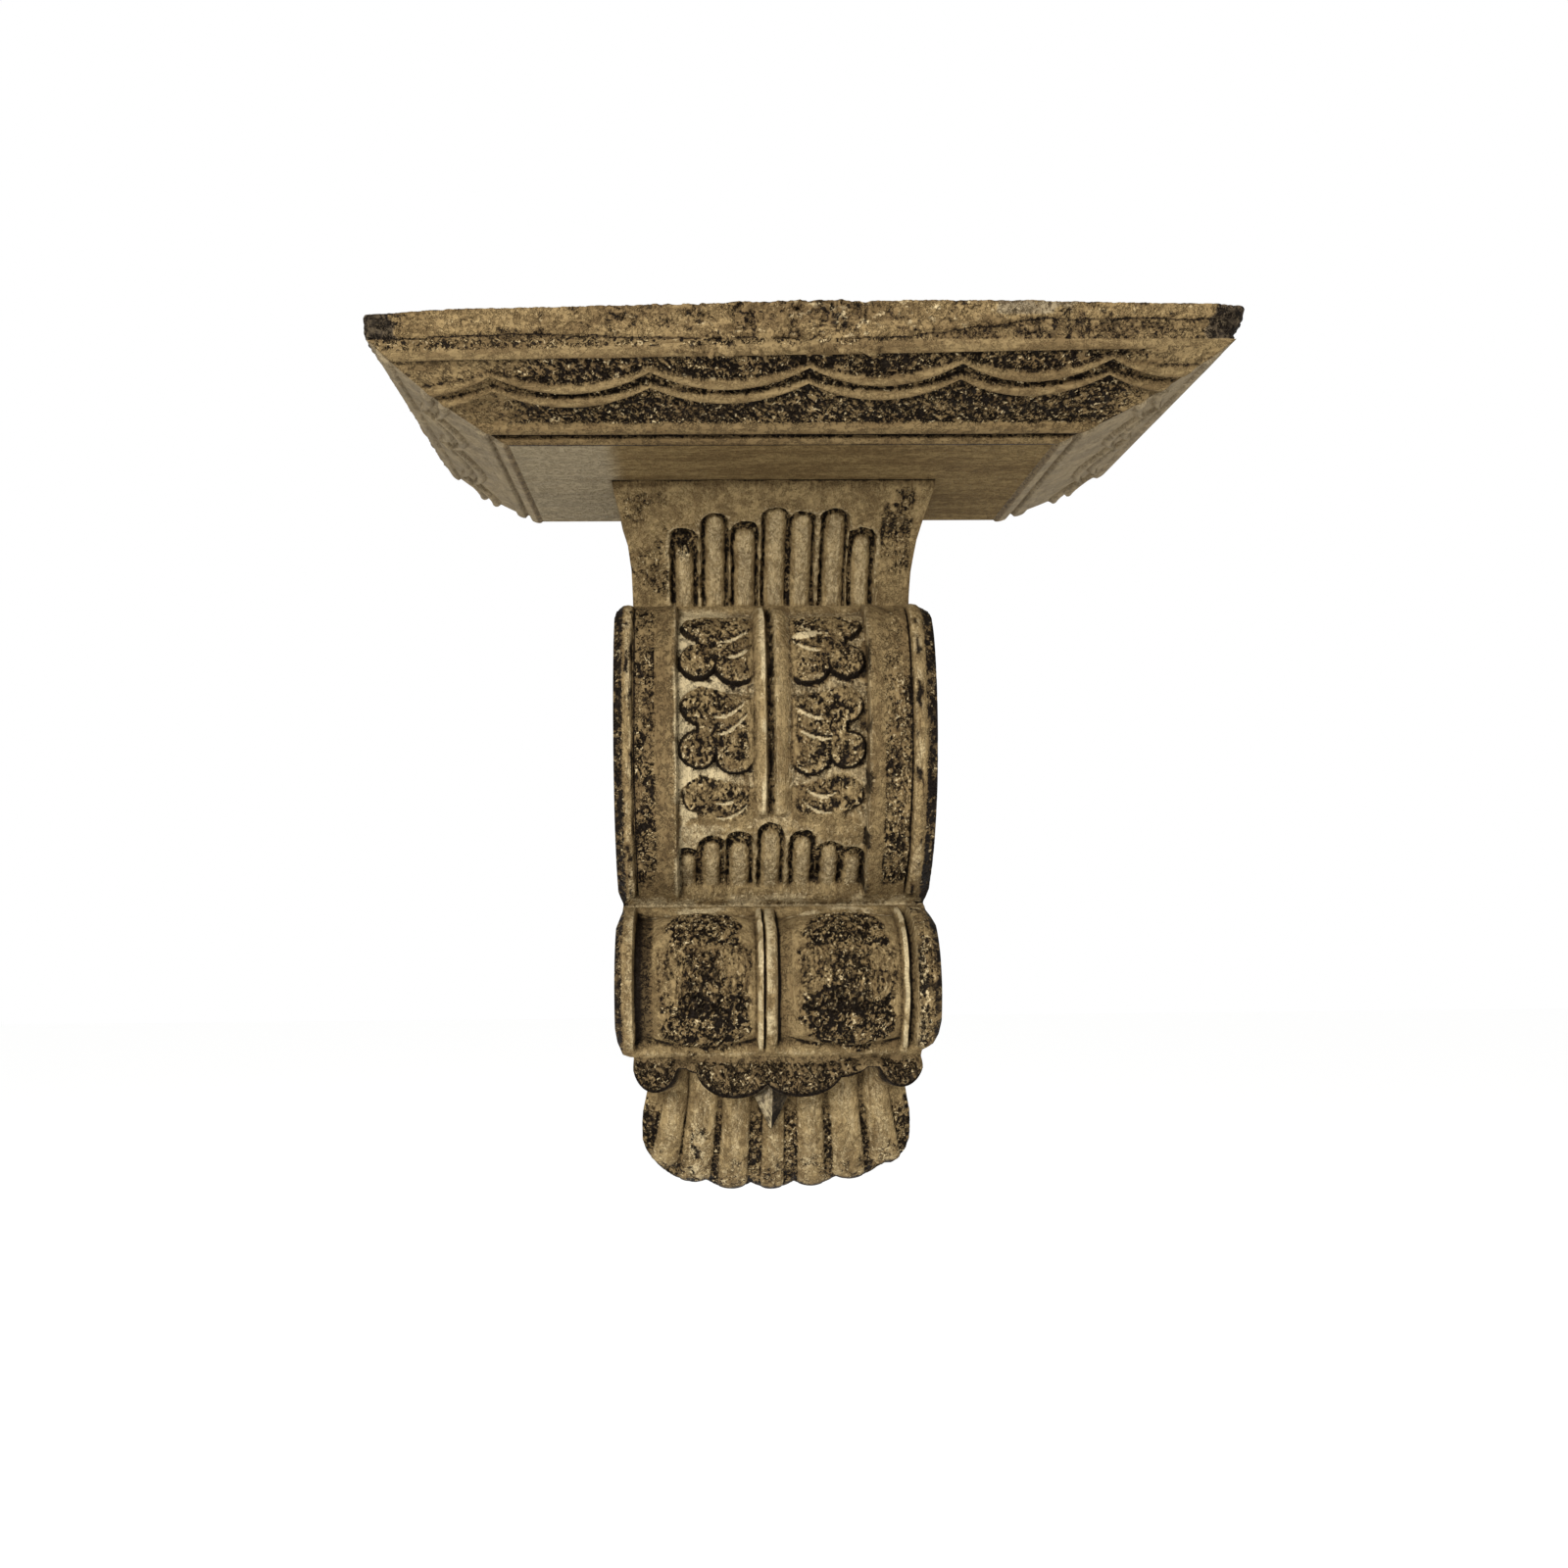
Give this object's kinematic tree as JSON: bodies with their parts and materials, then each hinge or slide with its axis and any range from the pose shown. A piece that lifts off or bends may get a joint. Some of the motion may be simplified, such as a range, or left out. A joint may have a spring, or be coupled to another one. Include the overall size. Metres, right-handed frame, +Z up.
{
  "type": "corbel shelf",
  "caption": "Carved wooden wall shelf: a moulded board with swags, carried by a scrolled corbel with reeds, leaves and a fan-shaped end.",
  "frame": {"origin": "middle of the corbel's flat back, on the wall plane", "axes": "+Z up, +Y into the wall, so the object stands out towards -Y; +X to the viewer's right"},
  "size_m": [0.3051, 0.1641, 0.3319],
  "materials": {
    "corbel_paint": "khaki-beige wash rubbed over dark brown, matt",
    "shelf_paint": "khaki-beige wash rubbed over dark brown, matt, worn ochre edge"
  },
  "bodies": {
    "root": {"corbel": "corbel_paint", "shelf": "shelf_paint"}
  },
  "joints": []
}
